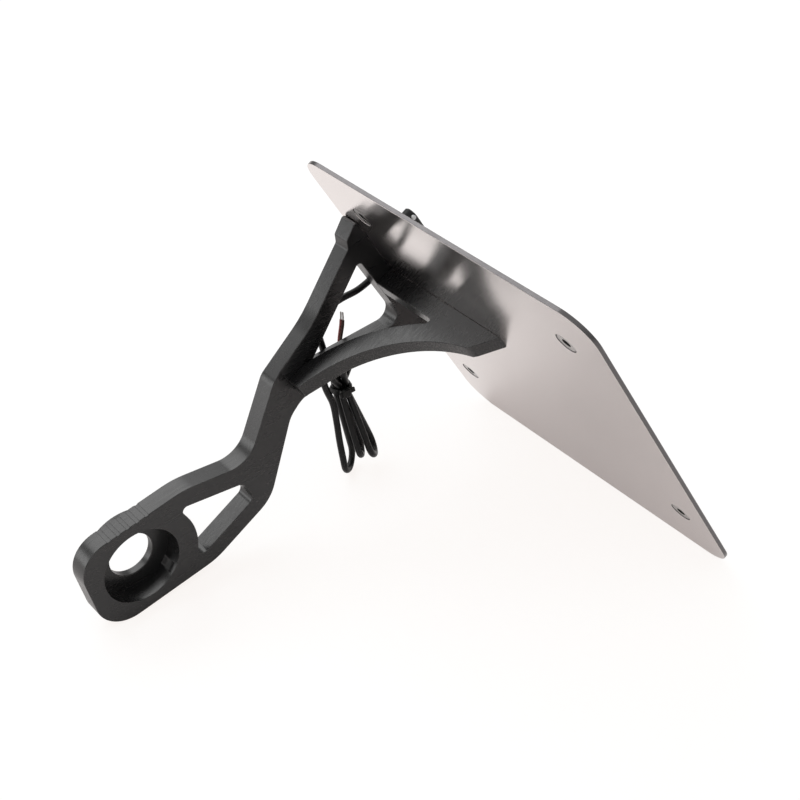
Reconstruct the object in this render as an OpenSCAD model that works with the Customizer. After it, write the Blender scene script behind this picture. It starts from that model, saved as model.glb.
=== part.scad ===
// Tail tidy: a flat cut bracket that carries a motorbike's number plate and plate lamp.
// Lengths are in millimetres. The shapes are drawn on the backing plate: w is the distance behind
// its back face, u runs across it and h is the height from its lower edge.
// place() then leans the whole piece over until it stands on the plate's lower edge and the arm's end.

/* [Backing plate] */
// width of the backing plate
plate_width = 175; // [150:1:220]
// height of the backing plate
plate_height = 200; // [150:1:230]
// sheet thickness
plate_t = 2; // [1.5:0.1:4]
// corner radius
plate_corner_r = 15; // [5:1:25]
// distance between the two upper number plate fixings
fixing_upper_span = 126; // [90:1:150]
// height of the upper fixings above the lower edge
fixing_upper_h = 170.5; // [120:0.5:190]
// distance between the two lower number plate fixings
fixing_lower_span = 140.8; // [90:0.2:160]
// height of the lower fixings above the lower edge
fixing_lower_h = 37; // [15:0.5:80]

/* [Arm] */
// side of the arm that faces away from the brace
arm_u0 = 4; // [2:0.5:20]
// thickness of the triangular frame part of the arm
arm_t = 9.2; // [6:0.1:14]
// extra thickness of the end of the arm on the brace side
arm_end_extra = 0.9; // [0:0.1:3]
// distance of the axle bore behind the plate
bore_w = 173.7; // [140:0.1:200]
// height of the axle bore above the plate's lower edge
bore_h = 114.65; // [90:0.05:140]
// radius of the axle bore
bore_r = 11; // [6:0.1:14]
// radius of the counterbore round the axle bore
counterbore_r = 19; // [14:0.1:21]
// depth of the counterbore
counterbore_depth = 10; // [3:0.1:12]
// radius of the boss on the hidden side of the axle bore
boss_r = 22; // [20:0.1:26]
// height of that boss
boss_t = 4; // [0.5:0.1:6]

/* [Brace] */
// height of the middle of the brace above the middle of the axle bore
brace_rise = 5.85; // [-5:0.05:12]
// thickness of the brace
brace_t = 8; // [5:0.5:12]
// end of the brace's foot, measured across the plate
brace_end_u = 87.5; // [60:0.5:120]
// width of the curved leg
brace_leg = 9.7; // [6:0.1:14]
// radius of the curved leg's outer edge
leg_radius = 78.6; // [60:0.1:120]
// width of the leg's outer edge beyond the arm's side, where the leg ends on the arm
leg_rise = 7.2; // [2:0.1:12]

/* [Feet and end bar] */
// how far the feet of the arm and the brace reach behind the plate
foot_w = 9.7; // [6:0.1:14]
// half the width of the arm's end bar
bar_half = 24.4; // [20:0.1:30]
// length of the end bar beyond the axle bore
bar_end = 26.8; // [22:0.1:40]
// radius of the end bar's lower corner
end_r = 17; // [5:0.5:20]
// slope of the end bar in degrees
bar_angle = 19.2; // [0:0.1:30]

/* [Fasteners] */
// radius of the screw threads
screw_r = 2; // [1.5:0.1:3]
// radius of a countersunk head
csk_head_r = 3.8; // [3:0.1:5]
// radius of a socket head
cap_head_r = 3.5; // [3:0.1:5]
// height of a socket head
cap_head_t = 4; // [3:0.1:6]

/* [Lamp and cable] */
// place of the lamp across the plate
lamp_u = 60; // [30:0.5:120]
// height of the centre of the lamp's round top above the plate's lower edge
lamp_h = 185.5; // [100:0.5:192]
// half the width of the lamp
lamp_r = 3.5; // [3.5:0.1:10]
// length of the lamp from the centre of its round top to its lens
lamp_len = 16.5; // [12:0.5:40]
// how far the lamp stands out of its pad
lamp_t = 5.7; // [5.5:0.1:12]
// diameter of the cable
cable_d = 3.3; // [2.5:0.1:4]

/* [Hidden] */
$fn = 48;
// largest turn between two facets of a rounded corner, in degrees
arc_step = 5;
gap = 0.05;
clear = 0.15;
arm_u1 = arm_u0 + arm_t;
arm_u2 = arm_u1 + arm_end_extra;
arm_mid = arm_u0 + arm_t / 2;
boss_u = arm_u0 - boss_t;
mid_u = plate_width / 2;
brace_h = bore_h + brace_rise;

// a point on the end bar of the arm: a along the bar and n across it, from the axle bore
function bar(a, n) = [bore_w + a * cos(bar_angle) - n * sin(bar_angle),
                      bore_h + a * sin(bar_angle) + n * cos(bar_angle)];
function unit(v) = v / norm(v);
function fold(a) = a > 180 ? a - 360 : a < -180 ? a + 360 : a;

// the arc that rounds the corner b between a and c
function corner(a, b, c, r) =
    let (p = unit(a - b), q = unit(c - b), half = acos(p * q) / 2,
         m = b + unit(p + q) * r / sin(half),
         s = b + p * r / tan(half) - m, e = b + q * r / tan(half) - m,
         from = atan2(s[1], s[0]), turn = fold(atan2(e[1], e[0]) - from),
         n = max(2, ceil(abs(turn) / arc_step)))
    [for (i = [0:n]) m + r * [cos(from + turn * i / n), sin(from + turn * i / n)]];

// a closed outline from corners written as [x, y, radius]
function rounded(list) =
    [for (i = [0:len(list) - 1])
        let (k = len(list), a = list[(i + k - 1) % k], b = list[i], c = list[(i + 1) % k])
        for (p = b[2] > 0 ? corner([a[0], a[1]], [b[0], b[1]], [c[0], c[1]], b[2]) : [[b[0], b[1]]]) p];

// the part stands on the plate's lower back edge and on the rounded lower corner of the arm's end
end_centre = bar(bar_end - end_r, end_r - bar_half);
lean = atan2(end_centre[1], end_centre[0]) - asin(end_r / norm(end_centre));

// outlines written as [w, h, radius], w and radius as shares of bore_w and h as a share of bore_h
function shares(list) = [for (p = list) [p[0] * bore_w, p[1] * bore_h, p[2] * bore_w]];
function bar_corner(a, n, r) = [bar(a, n)[0], bar(a, n)[1], r];
arm_outline = rounded(concat(
    shares([[0, 1.4043, 0.0086], [0.0518, 1.3642, 0.0115], [0.0622, 1.3301, 0.0115], [0.2579, 1.1958, 0.3454],
            [0.4341, 1.1444, 0.0576], [0.6229, 0.9437, 0.0864], [0.787, 1.1147, 0.2303]]),
    [bar_corner(bar_end, bar_half, 0.0864 * bore_w), bar_corner(bar_end, -bar_half, end_r)],
    shares([[0.8653, 0.7039, 0.1727], [0.6494, 0.7039, 0.1151], [0.4341, 0.976, 0.0864],
            [0.0622, 0.7396, 0.0115], [0.0518, 0.7074, 0.0115], [0, 0.6664, 0.0086]])));
arm_window = rounded(concat(
    [[foot_w, 1.2447 * bore_h, 0.0115 * bore_w], [foot_w, 0.8243 * bore_h, 0.0345 * bore_w]],
    shares([[0.3529, 1.0379, 0.0173]])));
lightening = rounded(shares([[0.8342, 1.0641, 0.0138], [0.6724, 0.8879, 0.0288], [0.6793, 0.7815, 0.023],
                             [0.8998, 0.7815, 0.0173], [0.8273, 0.9176, 0.1687]]));

// the brace, drawn as [w, u]; both edges of the curved leg share one centre
root_w = 0.39896 * bore_w;
leg_inner_r = leg_radius + brace_leg;
leg_foot = [foot_w + 2, brace_end_u - 9.9];
leg_root = [root_w, arm_u1 + leg_rise];
leg_chord = leg_root - leg_foot;
leg_side = unit([-leg_chord[1], leg_chord[0]]);
leg_centre = (leg_foot + leg_root) / 2 + leg_side * sqrt(pow(leg_radius, 2) - pow(norm(leg_chord) / 2, 2));
leg_start = leg_centre[0] - sqrt(pow(leg_inner_r, 2) - pow(leg_centre[1] - arm_u1, 2));
inner_end_w = foot_w + 2.75;
inner_end_u = leg_centre[1] - sqrt(pow(leg_inner_r, 2) - pow(leg_centre[0] - inner_end_w, 2));
outer_from = atan2(leg_foot[1] - leg_centre[1], leg_foot[0] - leg_centre[0]);
outer_to = atan2(leg_root[1] - leg_centre[1], leg_root[0] - leg_centre[0]);
inner_from = atan2(arm_u1 - leg_centre[1], leg_start - leg_centre[0]);
inner_to = atan2(inner_end_u - leg_centre[1], inner_end_w - leg_centre[0]);
function leg_arc(r, a, b) =
    let (turn = fold(b - a), n = ceil(abs(turn) / 3))
    [for (i = [0:n]) leg_centre + r * [cos(a + turn * i / n), sin(a + turn * i / n)]];
brace_outline = concat(
    [[0, arm_u1], [0, brace_end_u], [foot_w + 0.5, brace_end_u - 8.2]],
    leg_arc(leg_radius, outer_from, outer_to),
    [[root_w, arm_u1]],
    leg_arc(leg_inner_r, inner_from, inner_to),
    [[foot_w + 0.7, inner_end_u + 0.7], [foot_w, inner_end_u - 0.7], [foot_w, arm_u1]]);

fixings = [[mid_u - fixing_upper_span / 2, fixing_upper_h], [mid_u + fixing_upper_span / 2, fixing_upper_h],
           [mid_u - fixing_lower_span / 2, fixing_lower_h], [mid_u + fixing_lower_span / 2, fixing_lower_h]];
arm_screw_h = [0.785 * bore_h, 1.2909 * bore_h];
brace_screw_u = [0.38857 * brace_end_u, 0.75429 * brace_end_u];
side_screw_w = [foot_w / 2, root_w - brace_leg / 2];
ramp = 6;
mark_start = 9;
mark_pitch = 5;
mark_size = 1.2;
csk_len = 10;
csk_head_t = csk_head_r - screw_r + 0.2;
side_len = 12;
insert_flange_r = 4.9;
insert_flange_t = 1;
insert_seat = 1.3;
insert_r = 3.3;
insert_bore_r = 2.1;

pad_t = 0.8;
lamp_w = -plate_t - pad_t;
lamp_step = 0.4;
pocket_u = 5;
pocket_w = 3.4;
pocket_h = 5;
board_t = 1;
board_h = lamp_h - lamp_len + pocket_h - board_t;
led_size = 1.6;
led_t = 0.7;
led_pitch = 2.3;
lens_t = 1.6;
window_r = 0.95;
window_w = lamp_w - lamp_t + 1.6;
window_h = lamp_h + 1.3;
gland_len = 5;
gland_r = 2.1;
gland_w = lamp_w - lamp_t / 2;
gland_h = lamp_h - 7;
gland_end = [gland_w, lamp_u - lamp_r - gland_len, gland_h];
cable_r = cable_d / 2;

// the cable's route as [w, u, h]: out of the gland, down the front, round the plate's edge,
// behind the arm's foot, up behind the upper leg and down into the hank
route = [gland_end, [-5.4, 45, 177], [-4.6, 37, 172], [-4, 28, 162], [-3.8, 19, 148], [-3.8, 10.5, 136],
         [-3.8, 4, 126], [-3.6, -1, 117.5], [-1, -3.6, 113], [3, -3, 111.5], [8, -0.8, 113],
         [16, -0.6, 117], [24, -1, 120.5], [33, -1.4, 122.5], [41, -1.6, 120.2], [45.2, -1.8, 114.5],
         [48, -2, 108], [50.6, -2.2, 101.5], [53.4, -2.2, 95.1], [56, -1.5, 89.95]];
// the far end of the lead, and its two conductors with their tinned tips
tail_route = [[39.15, -0.6, 97.5], [38.5, -0.78, 98.82], [38, -0.7, 100.7]];
brown_route = [[38, 0.05, 100.7], [37.6, 0.1, 102.1], [34.6, 0.5, 105.4], [31.3, 0.8, 108.8]];
red_route = [[38, -1.4, 100.7], [37.6, -1.4, 102.1], [35, -1.1, 105.6], [31.9, -1, 109.2]];
brown_tip = [[31.3, 0.8, 108.8], [29.2, 0.7, 111.5], [27.2, 0.6, 114.4]];
red_tip = [[31.9, -1, 109.2], [29.9, -1.1, 111.9], [28, -1.2, 114.8]];
wire_r = 0.65;
tip_r = 0.4;

// a smooth curve through the points, k pieces to each stretch
function ends(p) = concat([2 * p[0] - p[1]], p, [2 * p[len(p) - 1] - p[len(p) - 2]]);
function catmull(a, b, c, d, t) =
    0.5 * ((2 * b) + (c - a) * t + (2 * a - 5 * b + 4 * c - d) * t * t + (3 * b - a - 3 * c + d) * t * t * t);
function smooth_curve(p, k) =
    let (q = ends(p))
    concat([for (i = [0:len(p) - 2]) for (j = [0:k - 1]) catmull(q[i], q[i + 1], q[i + 2], q[i + 3], j / k)],
           [p[len(p) - 1]]);
function tangents(p) =
    [for (i = [0:len(p) - 1]) unit(p[min(i + 1, len(p) - 1)] - p[max(i - 1, 0)])];
function normals(t, start) =
    [for (i = 0, n = unit(start - (start * t[0]) * t[0]); i < len(t);
          i = i + 1, n = i < len(t) ? unit(n - (n * t[i]) * t[i]) : n) n];

module tube(p, r, sides) {
    t = tangents(p);
    n = normals(t, [1, 0, 0.2]);
    pts = [for (i = [0:len(p) - 1]) let (b = cross(t[i], n[i]))
           for (k = [0:sides - 1]) p[i] + r * (cos(360 * k / sides) * n[i] + sin(360 * k / sides) * b)];
    walls = [for (i = [0:len(p) - 2]) for (k = [0:sides - 1])
             let (a = i * sides, b = a + sides, next = (k + 1) % sides)
             [a + k, a + next, b + next, b + k]];
    last = (len(p) - 1) * sides;
    caps = [[for (k = [sides - 1:-1:0]) k], [for (k = [0:sides - 1]) last + k]];
    polyhedron(points = pts, faces = concat(walls, caps));
}

module place() {
    rotate([0, lean, 0]) translate([-bore_w, -boss_u, -bore_h]) children();
}
// an outline in w and h, cut through from u = a to u = b
module along_u(a, b) {
    rotate([90, 0, 0]) translate([0, 0, -b]) linear_extrude(b - a) children();
}
// an outline in u and h, cut through from w = a to w = b
module along_w(a, b) {
    translate([a, 0, 0]) rotate([90, 0, 90]) linear_extrude(b - a) children();
}
module pin_u(w, h, a, b, r) {
    translate([w, a, h]) rotate([-90, 0, 0]) cylinder(h = b - a, r = r);
}
module pin_w(u, h, a, b, r) {
    translate([a, u, h]) rotate([0, 90, 0]) cylinder(h = b - a, r = r);
}

// countersunk screw that starts flush with the plate's front face
module csk_screw(u, h) {
    translate([-plate_t, u, h]) difference() {
        rotate([0, 90, 0]) rotate_extrude()
            polygon([[0, 0], [csk_head_r, 0], [csk_head_r, 0.2], [screw_r, csk_head_t],
                     [screw_r, csk_len], [0, csk_len]]);
        translate([-1, 0, 0]) rotate([0, 90, 0]) cylinder(h = 2.2, r = 1.45, $fn = 6);
    }
}
// socket head screw along u, its head sunk in the arm's hidden face
module cap_screw(w, h) {
    translate([w, arm_u0, h]) difference() {
        rotate([-90, 0, 0]) rotate_extrude()
            polygon([[0, 0], [cap_head_r - 0.3, 0], [cap_head_r, 0.3], [cap_head_r, cap_head_t],
                     [screw_r, cap_head_t], [screw_r, cap_head_t + side_len], [0, cap_head_t + side_len]]);
        translate([0, -1, 0]) rotate([-90, 0, 0]) cylinder(h = 3, r = 1.75, $fn = 6);
    }
}

module backing_plate() {
    color([0.78, 0.79, 0.80]) place() difference() {
        along_w(-plate_t, 0)
            polygon(rounded([
                for (c = [[0, 0], [plate_width, 0], [plate_width, plate_height], [0, plate_height]])
                [c[0], c[1], plate_corner_r]]));
        for (f = fixings) {
            pin_w(f[0], f[1], -plate_t - 1, 1, insert_r + gap);
            pin_w(f[0], f[1], -insert_seat, 1, insert_flange_r + clear);
        }
        for (h = arm_screw_h) translate([-plate_t, arm_mid, h]) csk_cut();
        for (u = brace_screw_u) translate([-plate_t, u, brace_h]) csk_cut();
    }
}
// the hole for a countersunk screw: the seat of its head, then a clearance hole
module csk_cut() {
    rotate([0, 90, 0]) rotate_extrude()
        polygon([[0, -1], [csk_head_r, -1], [csk_head_r, 0.2], [screw_r + clear, csk_head_t - clear],
                 [screw_r + clear, plate_t + 1], [0, plate_t + 1]]);
}

module arm() {
    color([0.05, 0.05, 0.055]) place() difference() {
        union() {
            along_u(arm_u0, arm_u1) polygon(arm_outline);
            difference() {
                along_u(arm_u1 - 1, arm_u2) polygon(arm_outline);
                translate([-foot_w, arm_u1 - foot_w, 0]) cube([root_w + gap + foot_w, 2 * foot_w, 2 * bore_h]);
                // the ramp up to the thicker end
                translate([0, 0, bore_h / 2]) linear_extrude(bore_h)
                    polygon([[root_w, arm_u1], [root_w + ramp, arm_u2], [root_w + ramp, arm_u2 + ramp],
                             [root_w, arm_u2 + ramp]]);
            }
            pin_u(bore_w, bore_h, boss_u, arm_u0 + 1, boss_r);
        }
        along_u(arm_u0 - 1, arm_u2 + 1) polygon(arm_window);
        along_u(arm_u0 - 1, arm_u2 + 1) polygon(lightening);
        pin_u(bore_w, bore_h, boss_u - 1, arm_u2 + 1, bore_r);
        pin_u(bore_w, bore_h, arm_u2 - counterbore_depth, arm_u2 + 1, counterbore_r);
        // five witness marks across the top edge of the end bar
        for (i = [0:4]) let (p = bar(mark_start - mark_pitch * i, bar_half))
            translate([p[0], 0, p[1]]) rotate([0, 45 - bar_angle, 0])
                translate([-mark_size / 2, arm_u0 - 1, -mark_size / 2]) cube([mark_size, arm_t + 5, mark_size]);
        for (h = arm_screw_h) pin_w(arm_mid, h, -1, csk_len - plate_t + 1.5, screw_r + gap);
        for (w = side_screw_w) {
            pin_u(w, brace_h, arm_u0 - 1, arm_u0 + cap_head_t, cap_head_r + clear);
            pin_u(w, brace_h, arm_u0, arm_u2 + 1, screw_r + clear);
        }
    }
}

module brace() {
    color([0.05, 0.05, 0.055]) place() difference() {
        translate([0, 0, brace_h - brace_t / 2]) linear_extrude(brace_t) polygon(brace_outline);
        for (u = brace_screw_u) pin_w(u, brace_h, -1, csk_len - plate_t + 1, screw_r + gap);
        for (w = side_screw_w)
            pin_u(w, brace_h, arm_u1 - 1, arm_u0 + cap_head_t + side_len + 0.5, screw_r + gap);
    }
}

// threaded insert: its flange sits in a shallow recess in the plate's back
module plate_insert(i) {
    color([0.62, 0.63, 0.65]) place() translate([-insert_seat, fixings[i][0], fixings[i][1]]) rotate([0, 90, 0])
        difference() {
            union() {
                cylinder(h = insert_flange_t, r = insert_flange_r);
                translate([0, 0, insert_seat - plate_t])
                    cylinder(h = plate_t - insert_seat + 0.5, r = insert_r);
            }
            translate([0, 0, -2]) cylinder(h = 4, r = insert_bore_r);
        }
}
module insert_upper_left() { plate_insert(0); }
module insert_upper_right() { plate_insert(1); }
module insert_lower_left() { plate_insert(2); }
module insert_lower_right() { plate_insert(3); }

module arm_foot_screws() {
    color([0.55, 0.55, 0.56]) place() for (h = arm_screw_h) csk_screw(arm_mid, h);
}
module brace_foot_screws() {
    color([0.55, 0.55, 0.56]) place() for (u = brace_screw_u) csk_screw(u, brace_h);
}
module brace_side_screws() {
    color([0.55, 0.55, 0.56]) place() for (w = side_screw_w) cap_screw(w, brace_h);
}

// the outline of the lamp in u and h, with a round top
module lamp_outline(r, low) {
    circle(r = r);
    translate([-r, -low]) square([2 * r, low]);
}
module lamp_pad() {
    color([0.10, 0.10, 0.10]) place() along_w(lamp_w, -plate_t) translate([lamp_u, lamp_h])
        lamp_outline(lamp_r - lamp_step, lamp_len - lamp_step);
}
module lamp_housing() {
    color([0.04, 0.04, 0.045]) place() difference() {
        union() {
            along_w(lamp_w - lamp_t + lamp_step, lamp_w) translate([lamp_u, lamp_h])
                lamp_outline(lamp_r, lamp_len);
            along_w(lamp_w - lamp_t, lamp_w - lamp_t / 2) translate([lamp_u, lamp_h])
                lamp_outline(lamp_r - lamp_step, lamp_len - lamp_step);
        }
        // the lens' pocket in the lower end
        translate([gland_w - pocket_w / 2, lamp_u - pocket_u / 2, lamp_h - lamp_len - 1])
            cube([pocket_w, pocket_u, pocket_h + 1]);
        pin_u(gland_w, gland_h, lamp_u - lamp_r - 1, lamp_u, gland_r + gap);
        pin_u(window_w, window_h, lamp_u + 1, lamp_u + lamp_r + 1, window_r + gap);
    }
}
module lamp_board() {
    color([0.10, 0.30, 0.16]) place()
        translate([gland_w - pocket_w / 2 + gap, lamp_u - pocket_u / 2 + gap, board_h])
        cube([pocket_w - 2 * gap, pocket_u - 2 * gap, board_t]);
}
module lamp_leds() {
    color([0.95, 0.93, 0.80]) place() for (i = [-1, 1])
        translate([gland_w - led_size / 2, lamp_u + led_pitch / 2 * i - led_size / 2, board_h - led_t])
        cube([led_size, led_size, led_t]);
}
// the lens in the lower end and the small round window in the lamp's side
module lamp_lens() {
    color([0.90, 0.92, 0.94, 0.5]) place() {
        translate([gland_w - pocket_w / 2, lamp_u - pocket_u / 2, lamp_h - lamp_len])
            cube([pocket_w, pocket_u, lens_t]);
        pin_u(window_w, window_h, lamp_u + 1, lamp_u + lamp_r + 0.15, window_r);
    }
}
module lamp_gland() {
    color([0.05, 0.05, 0.05]) place() translate(gland_end) rotate([-90, 0, 0])
        difference() {
            union() {
                cylinder(h = gland_len + 3, r = gland_r);
                for (i = [0:2]) translate([0, 0, 0.8 + 1.4 * i]) cylinder(h = 0.7, r = gland_r + 0.3);
            }
            translate([0, 0, -1]) cylinder(h = 1.5, r = cable_r + 0.1);
        }
}

module lamp_cable() {
    color([0.05, 0.05, 0.055]) place() tube(smooth_curve(route, 3), cable_r, 8);
}

module cable_tail() {
    color([0.05, 0.05, 0.055]) place() tube(smooth_curve(tail_route, 2), cable_r, 8);
}
module wire_brown() {
    color([0.36, 0.16, 0.07]) place() tube(smooth_curve(brown_route, 2), wire_r, 8);
}
module wire_red() {
    color([0.70, 0.08, 0.05]) place() tube(smooth_curve(red_route, 2), wire_r, 8);
}
module wire_tips() {
    color([0.80, 0.80, 0.78]) place() {
        tube(smooth_curve(brown_tip, 2), tip_r, 8);
        tube(smooth_curve(red_tip, 2), tip_r, 8);
    }
}

// the hank: the rest of the lead folded to and fro, hanging from its tie
hank_tie = [50.9, -2.5, 78.3];
hank_tilt = 7;
hank_back = -5;
hank_front = 8.5;
hank_waist = -6.5;
hank_side = 11.5;
tie_w = 3;
tie_t = 1.1;
// its outline from the tie: across, up and radius
hank_outline = rounded([[8, 8, 0], [hank_side, 8, 0.8], [11, -46.6, 7], [-10.5, -46.6, 3], [-16.5, -41, 4],
                        [hank_waist, -5, 4], [hank_waist, 4, 4], [-9, 22, 5], [8, 22, 5]]);
module hank_frame() {
    translate(hank_tie) rotate([0, -lean, 0]) rotate([hank_tilt, 0, 0]) children();
}
module hank_body() {
    along_u(hank_back, hank_front) polygon(hank_outline);
}
module cable_hank() {
    color([0.05, 0.05, 0.055]) place() hank_frame() hank_body();
}
// the tie: a strap round the hank, its head and the end of the strap that stands out of it
module cable_tie() {
    color([0.03, 0.03, 0.03]) place() hank_frame() {
        difference() {
            translate([hank_waist - tie_t, hank_back - tie_t, -tie_w / 2])
                cube([hank_side - hank_waist + 2 * tie_t, hank_front - hank_back + 2 * tie_t, tie_w]);
            hank_body();
        }
        translate([0, hank_front + tie_t - 0.2, -tie_w / 2 - 0.6]) cube([4.6, 3.2, tie_w + 1.2]);
        translate([-6, hank_front + tie_t + 0.6, -tie_w / 2 + 0.3]) cube([7, 1, tie_w - 0.6]);
    }
}

backing_plate();
arm();
brace();
insert_upper_left();
insert_upper_right();
insert_lower_left();
insert_lower_right();
arm_foot_screws();
brace_foot_screws();
brace_side_screws();
lamp_pad();
lamp_housing();
lamp_board();
lamp_leds();
lamp_lens();
lamp_gland();
lamp_cable();
cable_hank();
cable_tie();
cable_tail();
wire_brown();
wire_red();
wire_tips();
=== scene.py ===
import bpy
import bmesh
import math
from mathutils import Vector, Matrix


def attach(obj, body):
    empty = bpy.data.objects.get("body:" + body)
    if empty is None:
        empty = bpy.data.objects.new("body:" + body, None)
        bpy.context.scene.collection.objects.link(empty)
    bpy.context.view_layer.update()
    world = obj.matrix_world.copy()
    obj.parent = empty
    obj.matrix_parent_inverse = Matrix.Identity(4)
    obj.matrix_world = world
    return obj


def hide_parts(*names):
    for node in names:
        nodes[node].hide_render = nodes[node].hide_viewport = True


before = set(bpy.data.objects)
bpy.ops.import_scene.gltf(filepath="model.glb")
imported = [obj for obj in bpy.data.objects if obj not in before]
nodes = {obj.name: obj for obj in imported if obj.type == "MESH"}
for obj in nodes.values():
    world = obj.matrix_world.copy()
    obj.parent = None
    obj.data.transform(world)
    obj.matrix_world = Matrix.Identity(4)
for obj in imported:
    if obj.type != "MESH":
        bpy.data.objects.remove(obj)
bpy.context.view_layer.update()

scene = bpy.context.scene
scene.view_settings.view_transform = "Standard"
MM = 0.001

# Places on the plate, in millimetres: w behind its front, u across it and h up it
BORE_W, BORE_H = 173.7, 114.65      # the axle bore
BAR_ANGLE = math.radians(19.2)      # the arm's end bar, from square to the plate
BAR_HALF = 24.4                     # half the bar's height
BAR_END = 26.8                      # how far the bar goes on past the bore
END_R = 17.0                        # the bar's lower corner, which stands on the floor


def bar(a, n):
    """A point on the arm's end bar: a along it and n across it, from the axle bore, as (w, h)."""
    return (BORE_W + a * math.cos(BAR_ANGLE) - n * math.sin(BAR_ANGLE),
            BORE_H + a * math.sin(BAR_ANGLE) + n * math.cos(BAR_ANGLE))


end_centre = bar(BAR_END - END_R, END_R - BAR_HALF)
LEAN = math.atan2(end_centre[1], end_centre[0]) - math.asin(END_R / math.hypot(*end_centre))
CL, SL = math.cos(LEAN), math.sin(LEAN)


def row(w, u, h):
    """A place on the plate as a point in metres, on the part as it stands."""
    w, h = w - BORE_W, h - BORE_H
    return Vector(((w * CL + h * SL), u, (-w * SL + h * CL))) * MM


# Camera, solved from the plate's four corners and the round counterbore
SENSOR_WIDTH = 36.0
FOCAL = 70.1963
CAM_RIGHT = (-0.7785924, 0.6223866, -0.0801793)
CAM_UP = (-0.4400114, -0.4503611, 0.7768943)
CAM_BACK = (0.447419, 0.6401639, 0.624505)
CAM_PLACE = (0.18863, 0.49582, 0.48115)
NEAREST_SEEN = 0.01

cam_data = bpy.data.cameras.new("camera")
cam_data.sensor_width = SENSOR_WIDTH
cam_data.lens = FOCAL
cam_data.clip_start = NEAREST_SEEN
cam = bpy.data.objects.new("camera", cam_data)
scene.collection.objects.link(cam)
cam_axes = Matrix((CAM_RIGHT, CAM_UP, CAM_BACK)).transposed().to_4x4()
cam_axes.translation = Vector(CAM_PLACE)
cam.matrix_world = cam_axes
scene.camera = cam


# Smooth lines
PIECES = 8            # pieces of a smooth line between two of the points it is drawn through
TURN_STEPS = 5        # pieces of an arc round a corner


def catmull(p, k):
    """A smooth curve through the points, k pieces to each stretch, as in the part's source."""
    q = [2 * Vector(p[0]) - Vector(p[1])] + [Vector(a) for a in p] + [2 * Vector(p[-1]) - Vector(p[-2])]
    out = []
    for i in range(len(p) - 1):
        a, b, c, d = q[i:i + 4]
        for j in range(k):
            t = j / k
            out.append(0.5 * ((2 * b) + (c - a) * t + (2 * a - 5 * b + 4 * c - d) * t * t
                              + (3 * b - a - 3 * c + d) * t * t * t))
    out.append(q[-2])
    return out


def even(pts, step):
    """The same line with its points about step apart."""
    run = [0.0]
    for a, b in zip(pts, pts[1:]):
        run.append(run[-1] + (b - a).length)
    n = max(2, round(run[-1] / step))
    out = []
    i = 0
    for j in range(n + 1):
        s = run[-1] * j / n
        while i < len(run) - 2 and run[i + 1] < s:
            i += 1
        f = (s - run[i]) / max(run[i + 1] - run[i], 1e-9)
        out.append(pts[i].lerp(pts[i + 1], min(max(f, 0), 1)))
    return out


def eased(pts, rounds):
    """The same line with small kinks smoothed out, its ends kept."""
    for _ in range(rounds):
        pts = [pts[0]] + [(a + 2 * b + c) / 4 for a, b, c in zip(pts, pts[1:], pts[2:])] + [pts[-1]]
    return pts


def smooth(pts, step, rounds):
    """A smooth line through the points, its own points about step apart."""
    return eased(even(catmull(pts, PIECES), step), rounds)


def turned(a, corner, b, radius):
    """The arc that rounds the corner between a and b."""
    a, corner, b = Vector(a), Vector(corner), Vector(b)
    p, q = (a - corner).normalized(), (b - corner).normalized()
    half = p.angle(q) / 2
    centre = corner + (p + q).normalized() * radius / math.sin(half)
    start = corner + p * radius / math.tan(half) - centre
    end = corner + q * radius / math.tan(half) - centre
    whole = start.angle(end)
    pts = []
    for i in range(TURN_STEPS + 1):
        t = i / TURN_STEPS
        pts.append(centre + (start * math.sin(whole * (1 - t)) + end * math.sin(whole * t)) / math.sin(whole))
    return pts


# The lead, in one piece. Its route is in millimetres on the plate, its hank from the tie.
CABLE_D = 3.3
LEAD_STEP = 1.1
HANK_TIE = (50.9, -2.5, 78.3)
HANK_TILT = math.radians(7)
FRONT_END = (-3.8, 10.5, 136)       # where the lead starts to turn round the plate's edge
EDGE_CORNER = (-3.8, -7.4, 105.7)
BACK_START = (16, -0.7, 116.8)      # where it has come round behind the plate
EDGE_R = 7.7
ROUTE = [(-5.65, 51.5, 178.5), (-5.4, 45, 177), (-4.6, 37, 172), (-4, 28, 162), (-3.8, 19, 148), FRONT_END,
         *turned(FRONT_END, EDGE_CORNER, BACK_START, EDGE_R),
         BACK_START, (24, -1, 120.5), (33, -1.4, 122.4), (40.6, -1.3, 119.8),
         (44, 0.1, 113.8), (46.4, 0.1, 106.5), (49.9, -0.8, 100.9), (54, -1.6, 95.6)]
INTO_HANK = [(10, 2.3, 8), (9.3, 2.4, 3), (7.5, 2.3, -4.7), (7.9, 2.7, -15), (8.8, 3.1, -26)]
OUT_OF_HANK = [(-4.2, 0.9, 6.5), (-5.6, 2.5, 11), (-6, 3.1, 16), (-5.4, 3.4, 20), (-3.8, 4.1, 23.4)]
TAIL_END = (38, -0.7, 100.7)
TURN_R = 7.0          # middle line of the lower folds
TOP_R = 7.0           # middle line of the upper folds
TOP_Z = 13.3          # height of their centres
TOP_ANGLE = 58        # which way they face
TOP_CLOSE = 25        # how far they close in below their centres
RING_R = 2.85         # five strands side by side round a ring fill the tie
RING_ANGLES = (342, 54, 270, 126, 198)
TIE_Z = 2.0           # the strands run straight this far above and below the tie


def hank(x, y, z):
    """A point of the hank, from its tie: x level behind the plate, y across it, z up the hank."""
    y, z = (y * math.cos(HANK_TILT) - z * math.sin(HANK_TILT),
            y * math.sin(HANK_TILT) + z * math.cos(HANK_TILT))
    return (HANK_TIE[0] + x * CL - z * SL, HANK_TIE[1] + y, HANK_TIE[2] + x * SL + z * CL)


def across(angle):
    """The level direction at an angle in degrees."""
    return Vector((math.cos(math.radians(angle)), math.sin(math.radians(angle)), 0))


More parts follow.
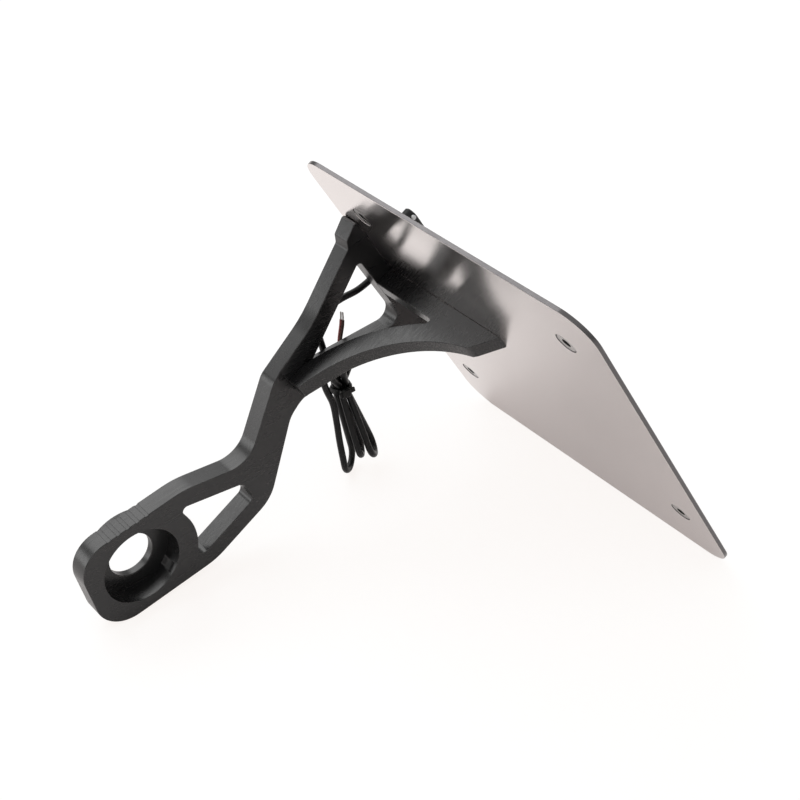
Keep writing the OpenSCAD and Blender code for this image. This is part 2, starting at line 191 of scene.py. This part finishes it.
def ring(angle, z):
    """Where a strand passes the tie."""
    return RING_R * across(angle) + Vector((0, 0, z))


def at_tie(angle, up):
    """The straight stretch of a strand through the tie, upwards or downwards."""
    pts = [ring(angle, z) for z in (-TIE_Z, 0, TIE_Z)]
    return pts if up else pts[::-1]


def lower_fold(x, y, bottom, angle):
    """Half a turn round (x, y), from the side that angle points to, turned to hang from the tie."""
    c = Vector((x, y, bottom + TURN_R))
    down = (c - Vector((0, 0, -TIE_Z))).normalized()
    d = across(angle)
    d = (d - down * d.dot(down)).normalized()
    pts = []
    for i in range(9):
        t = math.pi * i / 8
        pts.append(c + TURN_R * (d * math.cos(t) + down * math.sin(t)))
    return pts


def upper_fold(x, y):
    """More than half a turn over (x, y), from behind to the front."""
    d = across(TOP_ANGLE)
    c = Vector((x, y, TOP_Z))
    pts = []
    for i in range(11):
        t = math.radians(-TOP_CLOSE + (180 + 2 * TOP_CLOSE) * i / 10)
        pts.append(c - d * TOP_R * math.cos(t) + Vector((0, 0, TOP_R * math.sin(t))))
    return pts


def between(a, b):
    """Points of the straight strand from the end of a to the start of b."""
    return [Vector(a[-1]).lerp(Vector(b[0]), t) for t in (0.25, 0.5, 0.75)]


def hank_line():
    """The whole folded stretch: three folds below the tie and two above it."""
    low = [lower_fold(4.3, 0.2, -45.4, 38), lower_fold(-1.6, 2.5, -38.6, 54), lower_fold(-7.3, 3.4, -41.4, 54)]
    high = [upper_fold(3.3, 0.2), upper_fold(-2.9, 0.2)]
    up_1, down_1, up_2, down_2, up_3 = [at_tie(a, u) for a, u in zip(RING_ANGLES, (1, 0, 1, 0, 1))]
    pts = INTO_HANK + low[0] + between(low[0], up_1) + up_1 + high[0]
    pts += down_1 + between(down_1, low[1]) + low[1] + between(low[1], up_2) + up_2 + high[1]
    pts += down_2 + between(down_2, low[2]) + low[2] + between(low[2], up_3) + up_3
    return [hank(*p) for p in pts + OUT_OF_HANK]


lead_mm = smooth(ROUTE + hank_line() + [TAIL_END], LEAD_STEP, 4)


# Materials: the parts that they share
def new_material(name):
    mat = bpy.data.materials.new(name)
    mat.use_nodes = True
    tree = mat.node_tree
    return mat, tree, tree.nodes["Principled BSDF"]


def link(tree, a, b):
    tree.links.new(a, b)


def noise(tree, scale, detail=4.0, rough=0.55, stretch=(1, 1, 1)):
    """A noise whose scale is features to the metre, turned with the plate."""
    place = tree.nodes.new("ShaderNodeTexCoord")
    shape = tree.nodes.new("ShaderNodeMapping")
    shape.inputs["Rotation"].default_value = (0, -LEAN, 0)
    shape.inputs["Scale"].default_value = stretch
    out = tree.nodes.new("ShaderNodeTexNoise")
    out.inputs["Scale"].default_value = scale
    out.inputs["Detail"].default_value = detail
    out.inputs["Roughness"].default_value = rough
    link(tree, place.outputs["Object"], shape.inputs["Vector"])
    link(tree, shape.outputs["Vector"], out.inputs["Vector"])
    return out.outputs["Fac"]


def spread(tree, value, low, high, a=0.3, b=0.7):
    """The value from a to b, spread from low to high."""
    out = tree.nodes.new("ShaderNodeMapRange")
    out.inputs["From Min"].default_value = a
    out.inputs["From Max"].default_value = b
    out.inputs["To Min"].default_value = low
    out.inputs["To Max"].default_value = high
    link(tree, value, out.inputs["Value"])
    return out.outputs["Result"]


def maths(tree, kind, a, b):
    """A sum or product; a and b are numbers or outputs of other nodes."""
    out = tree.nodes.new("ShaderNodeMath")
    out.operation = kind
    for socket, v in zip(out.inputs, (a, b)):
        if isinstance(v, (int, float)):
            socket.default_value = v
        else:
            link(tree, v, socket)
    return out.outputs[0]


def blend_colour(tree, fac, a, b):
    """From a to b; a is a colour or the output of another node."""
    out = tree.nodes.new("ShaderNodeMix")
    out.data_type = "RGBA"
    out.inputs["B"].default_value = (*b, 1)
    if isinstance(a, tuple):
        out.inputs["A"].default_value = (*a, 1)
    else:
        link(tree, a, out.inputs["A"])
    link(tree, fac, out.inputs["Factor"])
    return out.outputs["Result"]


def bumped(tree, shader, height, depth, strength=1.0):
    """Fine relief, depth metres deep."""
    out = tree.nodes.new("ShaderNodeBump")
    out.inputs["Distance"].default_value = depth
    out.inputs["Strength"].default_value = strength
    link(tree, height, out.inputs["Height"])
    link(tree, out.outputs["Normal"], shader.inputs["Normal"])


def worn(tree, base, colour, amount):
    """The base with its rounded edges taken towards another colour, broken up so that wear isn't even."""
    edge = tree.nodes.new("ShaderNodeAttribute")
    edge.attribute_name = "edge"
    patch = spread(tree, noise(tree, 260, 5, 0.6), 0, 1, 0.42, 0.62)
    mask = maths(tree, "MULTIPLY", edge.outputs["Fac"], patch)
    return blend_colour(tree, maths(tree, "MULTIPLY", mask, amount), base, colour)


# Materials, one function to each kind
def billet_material():
    """Black anodised aluminium, cut from flat bar: a fine satin with faint tool and handling marks."""
    mat, tree, s = new_material("black_anodised")
    cloud = noise(tree, 45)
    fine = noise(tree, 2600, 3, 0.7)
    along = noise(tree, 900, 3, 0.6, (0.05, 1, 0.6))
    base = blend_colour(tree, spread(tree, cloud, 0, 1), (0.0035, 0.0035, 0.0038), (0.007, 0.007, 0.0075))
    link(tree, worn(tree, base, (0.06, 0.058, 0.057), 0.55), s.inputs["Base Color"])
    s.inputs["Metallic"].default_value = 0.0
    s.inputs["Specular IOR Level"].default_value = 0.62
    rough = maths(tree, "ADD", spread(tree, along, 0.22, 0.32), spread(tree, cloud, -0.02, 0.06))
    link(tree, rough, s.inputs["Roughness"])
    height = maths(tree, "ADD", maths(tree, "MULTIPLY", fine, 0.5), maths(tree, "MULTIPLY", along, 0.5))
    bumped(tree, s, height, 0.00002, 0.13)
    return mat


def plate_material():
    """Polished sheet: a soft mirror with the faint streaks of rolling and a few smears."""
    mat, tree, s = new_material("polished_sheet")
    streak = noise(tree, 700, 4, 0.6, (1, 0.04, 1))
    smear = noise(tree, 22, 4, 0.6)
    tint = blend_colour(tree, spread(tree, smear, 0, 1), (0.78, 0.735, 0.72), (0.82, 0.775, 0.76))
    link(tree, tint, s.inputs["Base Color"])
    s.inputs["Metallic"].default_value = 1.0
    rough = maths(tree, "ADD", spread(tree, smear, 0.13, 0.17), spread(tree, streak, 0.0, 0.03))
    link(tree, rough, s.inputs["Roughness"])
    bumped(tree, s, streak, 0.000004, 0.4)
    return mat


def thread_rings(tree):
    """The fine turns of a thread, one after another along the plate's depth."""
    place = tree.nodes.new("ShaderNodeTexCoord")
    turn = tree.nodes.new("ShaderNodeMapping")
    turn.inputs["Rotation"].default_value = (0, -LEAN, 0)
    wave = tree.nodes.new("ShaderNodeTexWave")
    wave.inputs["Scale"].default_value = 400
    link(tree, place.outputs["Object"], turn.inputs["Vector"])
    link(tree, turn.outputs["Vector"], wave.inputs["Vector"])
    return wave.outputs["Fac"]


def steel_material(name, colour, rough_low, rough_high, rings=False):
    """Turned or plated metal, paler on its rounded edges; rings adds the turns of a thread."""
    mat, tree, s = new_material(name)
    paler = tuple(min(1, c * 1.25) for c in colour)
    link(tree, worn(tree, colour, paler, 0.6), s.inputs["Base Color"])
    s.inputs["Metallic"].default_value = 1.0
    link(tree, spread(tree, noise(tree, 300), rough_low, rough_high), s.inputs["Roughness"])
    height = noise(tree, 3200, 3, 0.6)
    if rings:
        height = maths(tree, "ADD", maths(tree, "MULTIPLY", thread_rings(tree), 8), height)
    bumped(tree, s, height, 0.00002, 0.6)
    return mat


def plastic_material(name, dark, light, rough_low, rough_high, scale, depth, wear=0.0):
    """Moulded plastic or rubber with a fine grain; wear pales the rounded edges."""
    mat, tree, s = new_material(name)
    cloud = noise(tree, 90)
    base = blend_colour(tree, spread(tree, cloud, 0, 1), dark, light)
    if wear:
        base = worn(tree, base, tuple(min(1, c * 3 + 0.02) for c in light), wear)
    link(tree, base, s.inputs["Base Color"])
    link(tree, spread(tree, cloud, rough_low, rough_high), s.inputs["Roughness"])
    s.inputs["Specular IOR Level"].default_value = 0.26
    bumped(tree, s, noise(tree, scale, 4, 0.6), depth, 0.6)
    return mat


def foam_material():
    """Black foam tape with open cells."""
    mat, tree, s = new_material("foam_tape")
    place = tree.nodes.new("ShaderNodeTexCoord")
    cell = tree.nodes.new("ShaderNodeTexVoronoi")
    cell.inputs["Scale"].default_value = 4200
    link(tree, place.outputs["Object"], cell.inputs["Vector"])
    tint = blend_colour(tree, spread(tree, cell.outputs["Distance"], 0, 1, 0, 0.7),
                        (0.012, 0.012, 0.012), (0.05, 0.05, 0.05))
    link(tree, tint, s.inputs["Base Color"])
    s.inputs["Roughness"].default_value = 0.95
    bumped(tree, s, cell.outputs["Distance"], 0.0001)
    return mat


def board_material():
    """Green solder mask with paler traces under it."""
    mat, tree, s = new_material("circuit_board")
    place = tree.nodes.new("ShaderNodeTexCoord")
    trace = tree.nodes.new("ShaderNodeTexBrick")
    trace.inputs["Scale"].default_value = 900
    trace.inputs["Color1"].default_value = (0.02, 0.12, 0.045, 1)
    trace.inputs["Color2"].default_value = (0.025, 0.14, 0.05, 1)
    trace.inputs["Mortar"].default_value = (0.06, 0.25, 0.09, 1)
    link(tree, place.outputs["Object"], trace.inputs["Vector"])
    link(tree, trace.outputs["Color"], s.inputs["Base Color"])
    s.inputs["Roughness"].default_value = 0.35
    bumped(tree, s, trace.outputs["Fac"], 0.00003, 0.6)
    return mat


def led_material():
    """Yellow phosphor under a clear coat."""
    mat, tree, s = new_material("led")
    grain = noise(tree, 5000, 3)
    tint = blend_colour(tree, spread(tree, grain, 0, 1), (0.86, 0.70, 0.22), (0.93, 0.84, 0.50))
    link(tree, tint, s.inputs["Base Color"])
    s.inputs["Roughness"].default_value = 0.3
    s.inputs["Coat Weight"].default_value = 0.4
    bumped(tree, s, grain, 0.00001, 0.5)
    return mat


def lens_material():
    """Clear plastic, slightly frosted."""
    mat, tree, s = new_material("lens")
    frost = noise(tree, 2500, 3)
    tint = blend_colour(tree, spread(tree, frost, 0, 1), (0.90, 0.92, 0.94), (0.97, 0.98, 0.99))
    link(tree, tint, s.inputs["Base Color"])
    s.inputs["Transmission Weight"].default_value = 0.35
    s.inputs["IOR"].default_value = 1.49
    link(tree, spread(tree, frost, 0.10, 0.22), s.inputs["Roughness"])
    bumped(tree, s, frost, 0.00001, 0.4)
    return mat


BILLET = billet_material()
PLATE = plate_material()
INSERT = steel_material("zinc_insert", (0.52, 0.51, 0.50), 0.22, 0.34, rings=True)
# Dark grey metal for the plate's edge faces: a painted dark reflection, the same polished sheet shown darker
# on its rim
PLATE_RIM_PAINTED_DARK = steel_material("plate_rim_painted_reflection", (0.13, 0.125, 0.128), 0.22, 0.32)
# Near-black metal for the inserts' faces that stand square to the plate, the bore and flange walls: painted
# shade in the hole and round the flange
INSERT_PAINTED_SHADE = steel_material("insert_painted_shade", (0.035, 0.034, 0.033), 0.35, 0.5)
SCREW = steel_material("stainless_screw", (0.56, 0.55, 0.54), 0.24, 0.36)
TIN = steel_material("tinned_copper", (0.48, 0.46, 0.44), 0.3, 0.45)
LAMP = plastic_material("lamp_plastic", (0.005, 0.005, 0.0055), (0.009, 0.009, 0.0095),
                        0.32, 0.42, 2400, 0.00004, wear=0.5)
GLAND = plastic_material("gland_rubber", (0.005, 0.005, 0.005), (0.010, 0.010, 0.010),
                         0.5, 0.62, 1800, 0.00005, wear=0.3)
LEAD = plastic_material("lead_rubber", (0.003, 0.003, 0.0032), (0.007, 0.007, 0.0075),
                        0.26, 0.38, 700, 0.00008)
TIE = plastic_material("tie_nylon", (0.004, 0.004, 0.004), (0.008, 0.008, 0.008),
                       0.30, 0.42, 1500, 0.00003, wear=0.3)
BROWN = plastic_material("brown_insulation", (0.05, 0.024, 0.018), (0.08, 0.038, 0.027),
                         0.34, 0.46, 1200, 0.00003)
RED = plastic_material("red_insulation", (0.32, 0.10, 0.095), (0.42, 0.145, 0.135),
                       0.34, 0.46, 1200, 0.00003)
FOAM = foam_material()
BOARD = board_material()
LED = led_material()
LENS = lens_material()

# Making pieces
OUT_OF_PLATE = (row(1, 0, 0) - row(0, 0, 0)).normalized()
SQUARE_BELOW = 0.8                  # a face stands square to the plate when it points less out of it
EDGE_FROM = math.radians(30)        # an edge this sharp is rounded off
SMOOTH_BELOW = math.radians(38)     # faces that meet at less than this are shaded as one
SAME_PLANE = math.radians(0.4)
SAME_POINT = 1e-6


def add_object(name, data, slot, material, *replaced):
    ob = bpy.data.objects.new(name, data)
    scene.collection.objects.link(ob)
    data.materials.append(material)
    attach(ob, "root")
    if replaced:
        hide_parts(*replaced)
    return ob


def add_mesh(name, verts, faces, slot, material, *replaced):
    data = bpy.data.meshes.new(name)
    data.from_pydata([tuple(v) for v in verts], [], faces)
    data.polygons.foreach_set("use_smooth", [True] * len(data.polygons))
    data.set_sharp_from_angle(angle=math.radians(40))
    return add_object(name, data, slot, material, *replaced)


def add_curve(name, lines, radius, slot, material, *replaced, resolution=4):
    """A round tube along each line; a line is points in millimetres on the plate."""
    data = bpy.data.curves.new(name, "CURVE")
    data.dimensions = "3D"
    data.bevel_depth = radius * MM
    data.bevel_resolution = resolution
    data.use_fill_caps = True
    for pts in lines:
        spline = data.splines.new("POLY")
        spline.points.add(len(pts) - 1)
        for point, place in zip(spline.points, pts):
            point.co = (*row(*place), 1)
        spline.use_smooth = True
    return add_object(name, data, slot, material, *replaced)


def softened(node, name, width, slot, material, rim=None, move=None, segments=2):
    """The node's own shape with its outer edges rounded off by width millimetres.

    rim is a second, darker material for the faces that stand square to the plate, which paints them darker:
    painted shade in the inserts' holes and a painted dark reflection on the plate's edge; move shifts points."""
    bm = bmesh.new()
    bm.from_mesh(nodes[node].data)
    bmesh.ops.remove_doubles(bm, verts=bm.verts, dist=SAME_POINT)
    if move:
        for v in bm.verts:
            v.co = move(v.co)
    bmesh.ops.dissolve_limit(bm, angle_limit=SAME_PLANE, verts=bm.verts, edges=bm.edges)
    sharp = [e for e in bm.edges
             if len(e.link_faces) == 2 and e.is_convex and e.calc_face_angle(0) > EDGE_FROM]
    layer = bm.faces.layers.float.new("edge")
    made = bmesh.ops.bevel(bm, geom=sharp, offset=width * MM, offset_type="OFFSET", segments=segments,
                           profile=0.5, affect="EDGES", clamp_overlap=False)
    for f in made["faces"]:
        f[layer] = 1.0
    bm.normal_update()
    for f in bm.faces:
        f.smooth = True
        f.material_index = int(rim is not None and abs(f.normal.dot(OUT_OF_PLATE)) < SQUARE_BELOW)
    data = bpy.data.meshes.new(name)
    bm.to_mesh(data)
    bm.free()
    data.set_sharp_from_angle(angle=SMOOTH_BELOW)
    ob = add_object(name, data, slot, material, node)
    if rim is not None:
        data.materials.append(rim)
    even_out = ob.modifiers.new("even_normals", "WEIGHTED_NORMAL")
    even_out.keep_sharp = True
    return ob


# The tie round the hank, in millimetres
TIE_IN = 1.7          # from a strand's middle to the strap's inner side
TIE_T = 1.1           # the strap's thickness
TIE_HALF = 1.35       # half its width
TIE_SOFT = 0.25       # how far its corners are cut back
TIE_REACH = 36        # half the turn that it makes round each strand, in degrees


def tie_line(r):
    """The line round the five strands, r from their middles."""
    pts = []
    for a in sorted(x % 360 for x in RING_ANGLES):
        for i in range(9):
            pts.append(ring(a, 0) + r * across(a - TIE_REACH + 9 * i))
    return pts


def strap_section():
    """The strap's outline, as (distance outwards, height)."""
    return ((0, -TIE_HALF + TIE_SOFT), (TIE_SOFT, -TIE_HALF),
            (TIE_T - TIE_SOFT, -TIE_HALF), (TIE_T, -TIE_HALF + TIE_SOFT),
            (TIE_T, TIE_HALF - TIE_SOFT), (TIE_T - TIE_SOFT, TIE_HALF),
            (TIE_SOFT, TIE_HALF), (0, TIE_HALF - TIE_SOFT))


def tie_strap():
    """The closed band round the strands."""
    inner, outer = tie_line(TIE_IN), tie_line(TIE_IN + TIE_T)
    section = strap_section()
    n, m = len(inner), len(section)
    verts, faces = [], []
    for p, q in zip(inner, outer):
        out = (q - p).normalized()
        for a, z in section:
            verts.append(row(*hank(*(p + out * a + Vector((0, 0, z))))))
    for i in range(n):
        j = (i + 1) % n
        for k in range(m):
            e = (k + 1) % m
            faces.append((i * m + k, i * m + e, j * m + e, j * m + k))
    return verts, faces


def block(x0, x1, y0, y1, half, soft, ridges=0):
    """A rounded block in the hank's frame; ridges puts that many fine teeth on its outer face."""
    tooth = 0.22
    bm = bmesh.new()
    steps = max(1, ridges * 2)
    grid = {}
    for i in range(steps + 1):
        x = x0 + (x1 - x0) * i / steps
        y = y1 - (tooth if ridges and i % 2 else 0)
        for k, (yy, zz) in enumerate(((y0, -half), (y, -half), (y, half), (y0, half))):
            grid[i, k] = bm.verts.new((x, yy, zz))
    for i in range(steps):
        for k in range(4):
            m = (k + 1) % 4
            bm.faces.new((grid[i, k], grid[i, m], grid[i + 1, m], grid[i + 1, k]))
    bm.faces.new([grid[0, k] for k in (3, 2, 1, 0)])
    bm.faces.new([grid[steps, k] for k in range(4)])
    bmesh.ops.recalc_face_normals(bm, faces=bm.faces)
    sharp = [e for e in bm.edges if e.calc_face_angle(0) > math.radians(60)]
    bmesh.ops.bevel(bm, geom=sharp, offset=soft, offset_type="OFFSET", segments=3, profile=0.5,
                    affect="EDGES", clamp_overlap=True)
    verts = [row(*hank(*v.co)) for v in bm.verts]
    bm.verts.index_update()
    faces = [[v.index for v in f.verts] for f in bm.faces]
    bm.free()
    return verts, faces


def joined(*meshes):
    """Several closed shapes as one mesh."""
    verts, faces = [], []
    for v, f in meshes:
        base = len(verts)
        verts += v
        faces += [[base + i for i in face] for face in f]
    return verts, faces


def tie_shape():
    """The strap, its head, and the ridged tail on one side of the head with its stub on the other."""
    side = max(p.y for p in tie_line(TIE_IN + TIE_T))
    head = block(-0.6, 4.0, side - 0.5, side + 2.7, 2.1, 0.5)
    tail = block(-3.4, 0.4, side + 0.9, side + 1.9, 1.2, 0.18, ridges=5)
    stub = block(3.4, 5.2, side + 0.9, side + 1.9, 1.2, 0.18)
    return joined(tie_strap(), head, tail, stub)


tie = add_mesh("hank_tie", *tie_shape(), "tie_plastic", TIE, "cable_tie")

# The lead and its two conductors, whose tips are bare
lead = add_curve("lead", [lead_mm], CABLE_D / 2, "lead_rubber", LEAD, "lamp_cable", "cable_hank", "cable_tail")
BROWN_ROUTE = [(38.35, -0.15, 99.6), (38, -0.05, 100.7), (37.6, -0.05, 102.1), (34.7, 0.15, 105.5),
               (31.5, 0.25, 109), (29.9, 0.15, 111.1)]
RED_ROUTE = [(38.35, -1.3, 99.6), (38, -1.4, 100.7), (37.6, -1.4, 102.1), (35, -1.1, 105.6),
             (31.9, -1, 109.2), (30.3, -1.05, 111.3)]
BROWN_TIP = [(30.4, 0.17, 110.4), (29.9, 0.15, 111.1), (28.7, 0, 112.8), (27.6, -0.2, 114.5)]
RED_TIP = [(30.8, -1.04, 110.6), (30.3, -1.05, 111.3), (29.1, -1.05, 113), (28, -1.05, 114.8)]
WIRE_R = 0.65
WIRE_STEP = 0.6
STRAND_R = 0.135
STRANDS = 6           # laid round one in the middle
STRAND_STEP = 0.22
STRAND_LAY = 6.0      # the length of one turn


def twisted(path):
    """The fine strands of a bare conductor, one in the middle and the others laid round it."""
    line = smooth(path, STRAND_STEP, 2)
    lines = [line]
    for k in range(STRANDS):
        pts = []
        for i, p in enumerate(line):
            t = (line[min(i + 1, len(line) - 1)] - line[max(i - 1, 0)]).normalized()
            side = t.cross(Vector((0, 1, 0))).normalized()
            up = side.cross(t)
            a = 2 * math.pi * (k / STRANDS + i * STRAND_STEP / STRAND_LAY)
            pts.append(p + STRAND_R * 2 * (side * math.cos(a) + up * math.sin(a)))
        lines.append(pts)
    return lines


brown = add_curve("wire_brown_sleeve", [smooth(BROWN_ROUTE, WIRE_STEP, 3)], WIRE_R, "wire_brown", BROWN,
                  "wire_brown")
red = add_curve("wire_red_sleeve", [smooth(RED_ROUTE, WIRE_STEP, 3)], WIRE_R, "wire_red", RED, "wire_red")
tips = add_curve("wire_strands", twisted(BROWN_TIP) + twisted(RED_TIP), STRAND_R, "tinned_tip", TIN,
                 "wire_tips", resolution=2)

# The witness marks on the end bar, which are cut less deep here than the notches of the solid
MARKS_FROM, MARKS_TO = -12.5, 10.5
NOTCH_LOW, NOTCH_HIGH = BAR_HALF - 1.2, BAR_HALF - 0.1
MARK_DEPTH = 0.4


def shallow_marks(p):
    """The point itself or, at the bottom of a notch, the point raised to a faint mark's depth."""
    x, z = p.x / MM, p.z / MM
    w, h = x * CL - z * SL, x * SL + z * CL
    a = w * math.cos(BAR_ANGLE) + h * math.sin(BAR_ANGLE)
    n = h * math.cos(BAR_ANGLE) - w * math.sin(BAR_ANGLE)
    if not (MARKS_FROM < a < MARKS_TO and NOTCH_LOW < n < NOTCH_HIGH):
        return p
    w, h = bar(a, BAR_HALF - MARK_DEPTH)
    return row(w, p.y / MM, h)


# Metal, lamp and fasteners
# The plate's edge faces take the dark grey metal, a painted dark reflection
softened("backing_plate", "plate", 0.3, "plate", PLATE, PLATE_RIM_PAINTED_DARK)
softened("arm", "arm_cut", 0.35, "billet", BILLET, move=shallow_marks)
softened("brace", "brace_cut", 0.35, "billet", BILLET)
# The inserts' walls square to the plate take the near-black metal, painted shade in the hole and recess
for corner in ("upper_left", "upper_right", "lower_left", "lower_right"):
    softened("insert_" + corner, "nut_" + corner, 0.15, "insert", INSERT, INSERT_PAINTED_SHADE)
softened("arm_foot_screws", "foot_screws", 0.1, "screw", SCREW)
softened("brace_foot_screws", "brace_screws", 0.1, "screw", SCREW)
softened("brace_side_screws", "side_screws", 0.1, "screw", SCREW)
softened("lamp_housing", "lamp_body", 0.3, "lamp_plastic", LAMP, segments=3)
softened("lamp_pad", "lamp_foam", 0.1, "foam_tape", FOAM)
softened("lamp_gland", "gland", 0.12, "lead_rubber", GLAND)
softened("lamp_board", "board", 0.06, "circuit_board", BOARD)
softened("lamp_leds", "leds", 0.1, "led", LED)
softened("lamp_lens", "lenses", 0.1, "lens", LENS)

# Floor
FLOOR_HALF = 4.0
FLOOR_CORNERS = ((-1, -1), (1, -1), (1, 1), (-1, 1))
FLOOR_PLAIN = (0.86, 0.85, 0.84)
FLOOR_MIRRORED, GLOW_MIRRORED = (0.88, 0.85, 0.84), (0.1, 0.095, 0.095)
FLOOR_SHOWN, GLOW_SHOWN = (0.14, 0.19, 0.22), (0.90, 0.85, 0.82)

floor_z = min(v.co.z for o in nodes.values() for v in o.data.vertices)
floor_mesh = bpy.data.meshes.new("floor")
floor_points = [(x * FLOOR_HALF, y * FLOOR_HALF, floor_z) for x, y in FLOOR_CORNERS]
floor_mesh.from_pydata(floor_points, [], [(0, 1, 2, 3)])
floor = bpy.data.objects.new("floor", floor_mesh)
scene.collection.objects.link(floor)


def floor_look(tree, colour, glow):
    """A matt colour that also gives off light."""
    matt = tree.nodes.new("ShaderNodeBsdfDiffuse")
    matt.inputs["Color"].default_value = (*colour, 1)
    light = tree.nodes.new("ShaderNodeEmission")
    light.inputs["Color"].default_value = (*glow, 1)
    both = tree.nodes.new("ShaderNodeAddShader")
    link(tree, matt.outputs[0], both.inputs[0])
    link(tree, light.outputs[0], both.inputs[1])
    return both.outputs[0]


def mix_shaders(tree, fac, a, b):
    out = tree.nodes.new("ShaderNodeMixShader")
    link(tree, fac, out.inputs[0])
    link(tree, a, out.inputs[1])
    link(tree, b, out.inputs[2])
    return out.outputs[0]


def floor_material():
    """White to the camera with a faint warm shadow; a plain pale floor to everything else."""
    mat, tree, s = new_material("floor")
    tree.nodes.remove(s)
    ray = tree.nodes.new("ShaderNodeLightPath")
    plain = floor_look(tree, FLOOR_PLAIN, (0, 0, 0))
    mirrored = floor_look(tree, FLOOR_MIRRORED, GLOW_MIRRORED)
    shown = floor_look(tree, FLOOR_SHOWN, GLOW_SHOWN)
    in_mirror = maths(tree, "MAXIMUM", ray.outputs["Is Glossy Ray"], ray.outputs["Is Transmission Ray"])
    unseen = mix_shaders(tree, in_mirror, plain, mirrored)
    both = mix_shaders(tree, ray.outputs["Is Camera Ray"], unseen, shown)
    link(tree, both, tree.nodes["Material Output"].inputs["Surface"])
    return mat


floor_mesh.materials.append(floor_material())

# Light
SKY_TINT = (1, 0.995, 0.985, 1)
SKY_LOW, SKY_HIGH = 0.35, 0.85
SKY_TOP = 0.9         # how far up the strength stops growing, where 1 is overhead


def sky():
    """White to the camera; to everything else dimmer near the horizon than overhead."""
    world = bpy.data.worlds.new("world")
    scene.world = world
    world.use_nodes = True
    tree = world.node_tree
    lit = tree.nodes["Background"]
    lit.inputs["Color"].default_value = SKY_TINT
    seen = tree.nodes.new("ShaderNodeBackground")
    seen.inputs["Color"].default_value = (1, 1, 1, 1)
    place = tree.nodes.new("ShaderNodeTexCoord")
    parts = tree.nodes.new("ShaderNodeSeparateXYZ")
    link(tree, place.outputs["Generated"], parts.inputs[0])
    link(tree, spread(tree, parts.outputs["Z"], SKY_LOW, SKY_HIGH, 0.0, SKY_TOP), lit.inputs["Strength"])
    ray = tree.nodes.new("ShaderNodeLightPath")
    both = mix_shaders(tree, ray.outputs["Is Camera Ray"], lit.outputs[0], seen.outputs[0])
    link(tree, both, tree.nodes["World Output"].inputs["Surface"])


def area(name, place, target, size, radiance):
    """A soft light that faces the target, as bright as radiance says; size is its width and height."""
    data = bpy.data.lights.new(name, "AREA")
    data.shape = "RECTANGLE"
    data.size, data.size_y = size
    data.energy = radiance * math.pi * size[0] * size[1]
    ob = bpy.data.objects.new(name, data)
    scene.collection.objects.link(ob)
    ob.location = place
    ob.rotation_euler = (Vector(target) - Vector(place)).to_track_quat("-Z", "Y").to_euler()


sky()
area("back_softbox", (-0.1, -1.3, 1.42), (-0.08, 0.05, 0.03), (2.0, 1.0), 2.1)
area("side_softbox", (1.5, -1.3, 0.42), (-0.08, 0.05, 0.05), (1.3, 0.8), 2.2)
